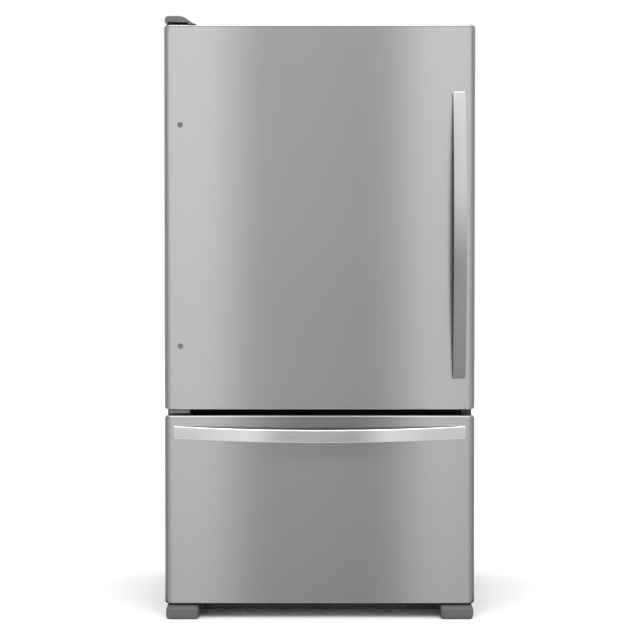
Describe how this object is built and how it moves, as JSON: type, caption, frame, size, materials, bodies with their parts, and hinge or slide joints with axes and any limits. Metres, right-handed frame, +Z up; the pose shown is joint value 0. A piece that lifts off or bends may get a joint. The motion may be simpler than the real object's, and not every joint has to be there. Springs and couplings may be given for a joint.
{
  "type": "bottom freezer refrigerator",
  "caption": "Bottom freezer refrigerator with a single stainless door over a pull-out freezer drawer, bowed bar handles, glass shelves, crispers and telescopic slides",
  "frame": {"origin": "on the floor, in the middle of the width and of the whole depth with the handles", "axes": "+Z up, -Y towards the front faces and handles, +X towards the door's handle side"},
  "size_m": [0.905, 0.86, 1.757],
  "materials": {
    "stainless": "brushed stainless sheet, fine vertical grain, satin",
    "handle_steel": "satin stainless bar",
    "cabinet_paint": "lightly textured grey paint",
    "grey_plastic": "mid grey moulded plastic",
    "dark_plastic": "black moulded plastic",
    "white_plastic": "white vacuum-formed plastic",
    "clear_plastic": "clear moulded plastic",
    "shelf_glass": "tempered glass",
    "gasket_rubber": "grey magnetic seal",
    "black_rubber": "black rubber",
    "foam": null,
    "zinc_steel": "zinc plated steel",
    "galvanised": "galvanised sheet",
    "coil_aluminium": "bare aluminium fins and tube",
    "compressor_black": "black enamel",
    "white_metal": "white painted steel"
  },
  "bodies": {
    "cabinet": {"cabinet_shell": "cabinet_paint", "back_panel": "galvanised", "base_pan": "galvanised", "insulation": "foam", "fridge_liner": "white_plastic", "freezer_liner": "white_plastic", "mullion_rail": "cabinet_paint", "top_hinge": "zinc_steel", "hinge_cover": "grey_plastic", "center_hinge": "zinc_steel", "base_grille": "dark_plastic", "foot_covers": "grey_plastic", "roller_brackets": "zinc_steel", "compressor_tray": "galvanised", "compressor": "compressor_black", "rubber_grommets": "black_rubber", "condenser": "coil_aluminium", "fan_motors": "dark_plastic", "drain_pan": "dark_plastic", "rear_cover": "galvanised", "evaporator": "coil_aluminium", "evaporator_cover": "white_plastic", "air_duct": "white_plastic", "control_housing": "white_plastic", "light_lens": "clear_plastic", "shelf_ladders": "white_metal", "shelf_frames": "white_plastic", "glass_shelves": "shelf_glass", "crisper_frame": "white_plastic", "freezer_slide_rails": "zinc_steel", "fasteners": "zinc_steel"},
    "door": {"door_skin": "stainless", "door_foam": "foam", "door_liner": "white_plastic", "door_gasket": "gasket_rubber", "door_handle": "handle_steel", "door_plugs": "grey_plastic", "door_bushings": "dark_plastic", "door_bins": "clear_plastic", "gallon_bin": "clear_plastic", "dairy_bin": "white_plastic"},
    "dairy_flap": {"dairy_flap": "clear_plastic"},
    "drawer": {"drawer_skin": "stainless", "drawer_foam": "foam", "drawer_liner": "white_plastic", "drawer_gasket": "gasket_rubber", "drawer_handle": "handle_steel", "drawer_brackets": "zinc_steel", "freezer_basket_lower": "white_plastic"},
    "slide_middles": {"slide_middles": "zinc_steel"},
    "upper_basket": {"freezer_basket_upper": "clear_plastic"},
    "crisper_left": {"crisper_left": "clear_plastic"},
    "crisper_right": {"crisper_right": "clear_plastic"},
    "temperature_dial": {"temperature_dial": "white_plastic"},
    "evaporator_fan": {"evaporator_fan": "dark_plastic"},
    "condenser_fan": {"condenser_fan": "dark_plastic"},
    "front_rollers": {"front_rollers": "dark_plastic"},
    "rear_rollers": {"rear_rollers": "dark_plastic"},
    "leveling_leg_left": {"leveling_leg_left": "zinc_steel"},
    "leveling_leg_right": {"leveling_leg_right": "zinc_steel"}
  },
  "joints": [
    {"name": "door_hinge", "type": "hinge", "parent": "cabinet", "child": "door", "pos_m": [-0.4305, -0.336, 1.169], "axis": [0, 0, -1], "range_deg": [0, 120]},
    {"name": "dairy_flap_hinge", "type": "hinge", "parent": "door", "child": "dairy_flap", "pos_m": [-0.1895, -0.205, 1.643], "axis": [1, 0, 0], "range_deg": [0, 80]},
    {"name": "drawer_slide", "type": "slide", "parent": "cabinet", "child": "drawer", "axis": [0, -1, 0], "range_m": [0, 0.43]},
    {"name": "middle_slide", "type": "slide", "parent": "cabinet", "child": "slide_middles", "axis": [0, -1, 0], "range_m": [0, 0.22]},
    {"name": "upper_basket_slide", "type": "slide", "parent": "cabinet", "child": "upper_basket", "axis": [0, -1, 0], "range_m": [0, 0.31]},
    {"name": "crisper_left_slide", "type": "slide", "parent": "cabinet", "child": "crisper_left", "axis": [0, -1, 0], "range_m": [0, 0.275]},
    {"name": "crisper_right_slide", "type": "slide", "parent": "cabinet", "child": "crisper_right", "axis": [0, -1, 0], "range_m": [0, 0.275]},
    {"name": "temperature_dial_turn", "type": "hinge", "parent": "cabinet", "child": "temperature_dial", "pos_m": [0.08, -0.158, 1.682], "axis": [0, -1, 0], "range_deg": [-140, 140]},
    {"name": "evaporator_fan_spin", "type": "hinge", "parent": "cabinet", "child": "evaporator_fan", "pos_m": [0, 0.311, 0.492], "axis": [0, 1, 0], "continuous": true},
    {"name": "condenser_fan_spin", "type": "hinge", "parent": "cabinet", "child": "condenser_fan", "pos_m": [-0.19, 0.31, 0.1245], "axis": [1, 0, 0], "continuous": true},
    {"name": "front_roller_spin", "type": "hinge", "parent": "cabinet", "child": "front_rollers", "pos_m": [0, -0.187, 0.02], "axis": [1, 0, 0], "continuous": true},
    {"name": "rear_roller_spin", "type": "hinge", "parent": "cabinet", "child": "rear_rollers", "pos_m": [0, 0.396, 0.017], "axis": [1, 0, 0], "continuous": true},
    {"name": "leveling_leg_left_turn", "type": "hinge", "parent": "cabinet", "child": "leveling_leg_left", "pos_m": [-0.416, -0.268, 0.02], "axis": [0, 0, 1], "continuous": true},
    {"name": "leveling_leg_right_turn", "type": "hinge", "parent": "cabinet", "child": "leveling_leg_right", "pos_m": [0.416, -0.268, 0.02], "axis": [0, 0, 1], "continuous": true}
  ],
  "couplings": [
    {"joint": "middle_slide", "follows": "drawer_slide", "ratio": 0.5},
    {"joint": "upper_basket_slide", "follows": "drawer_slide", "ratio": 0.7},
    {"joint": "crisper_left_slide", "follows": "door_hinge", "m_per_rad": 0.12892},
    {"joint": "crisper_right_slide", "follows": "door_hinge", "m_per_rad": 0.12892}
  ]
}
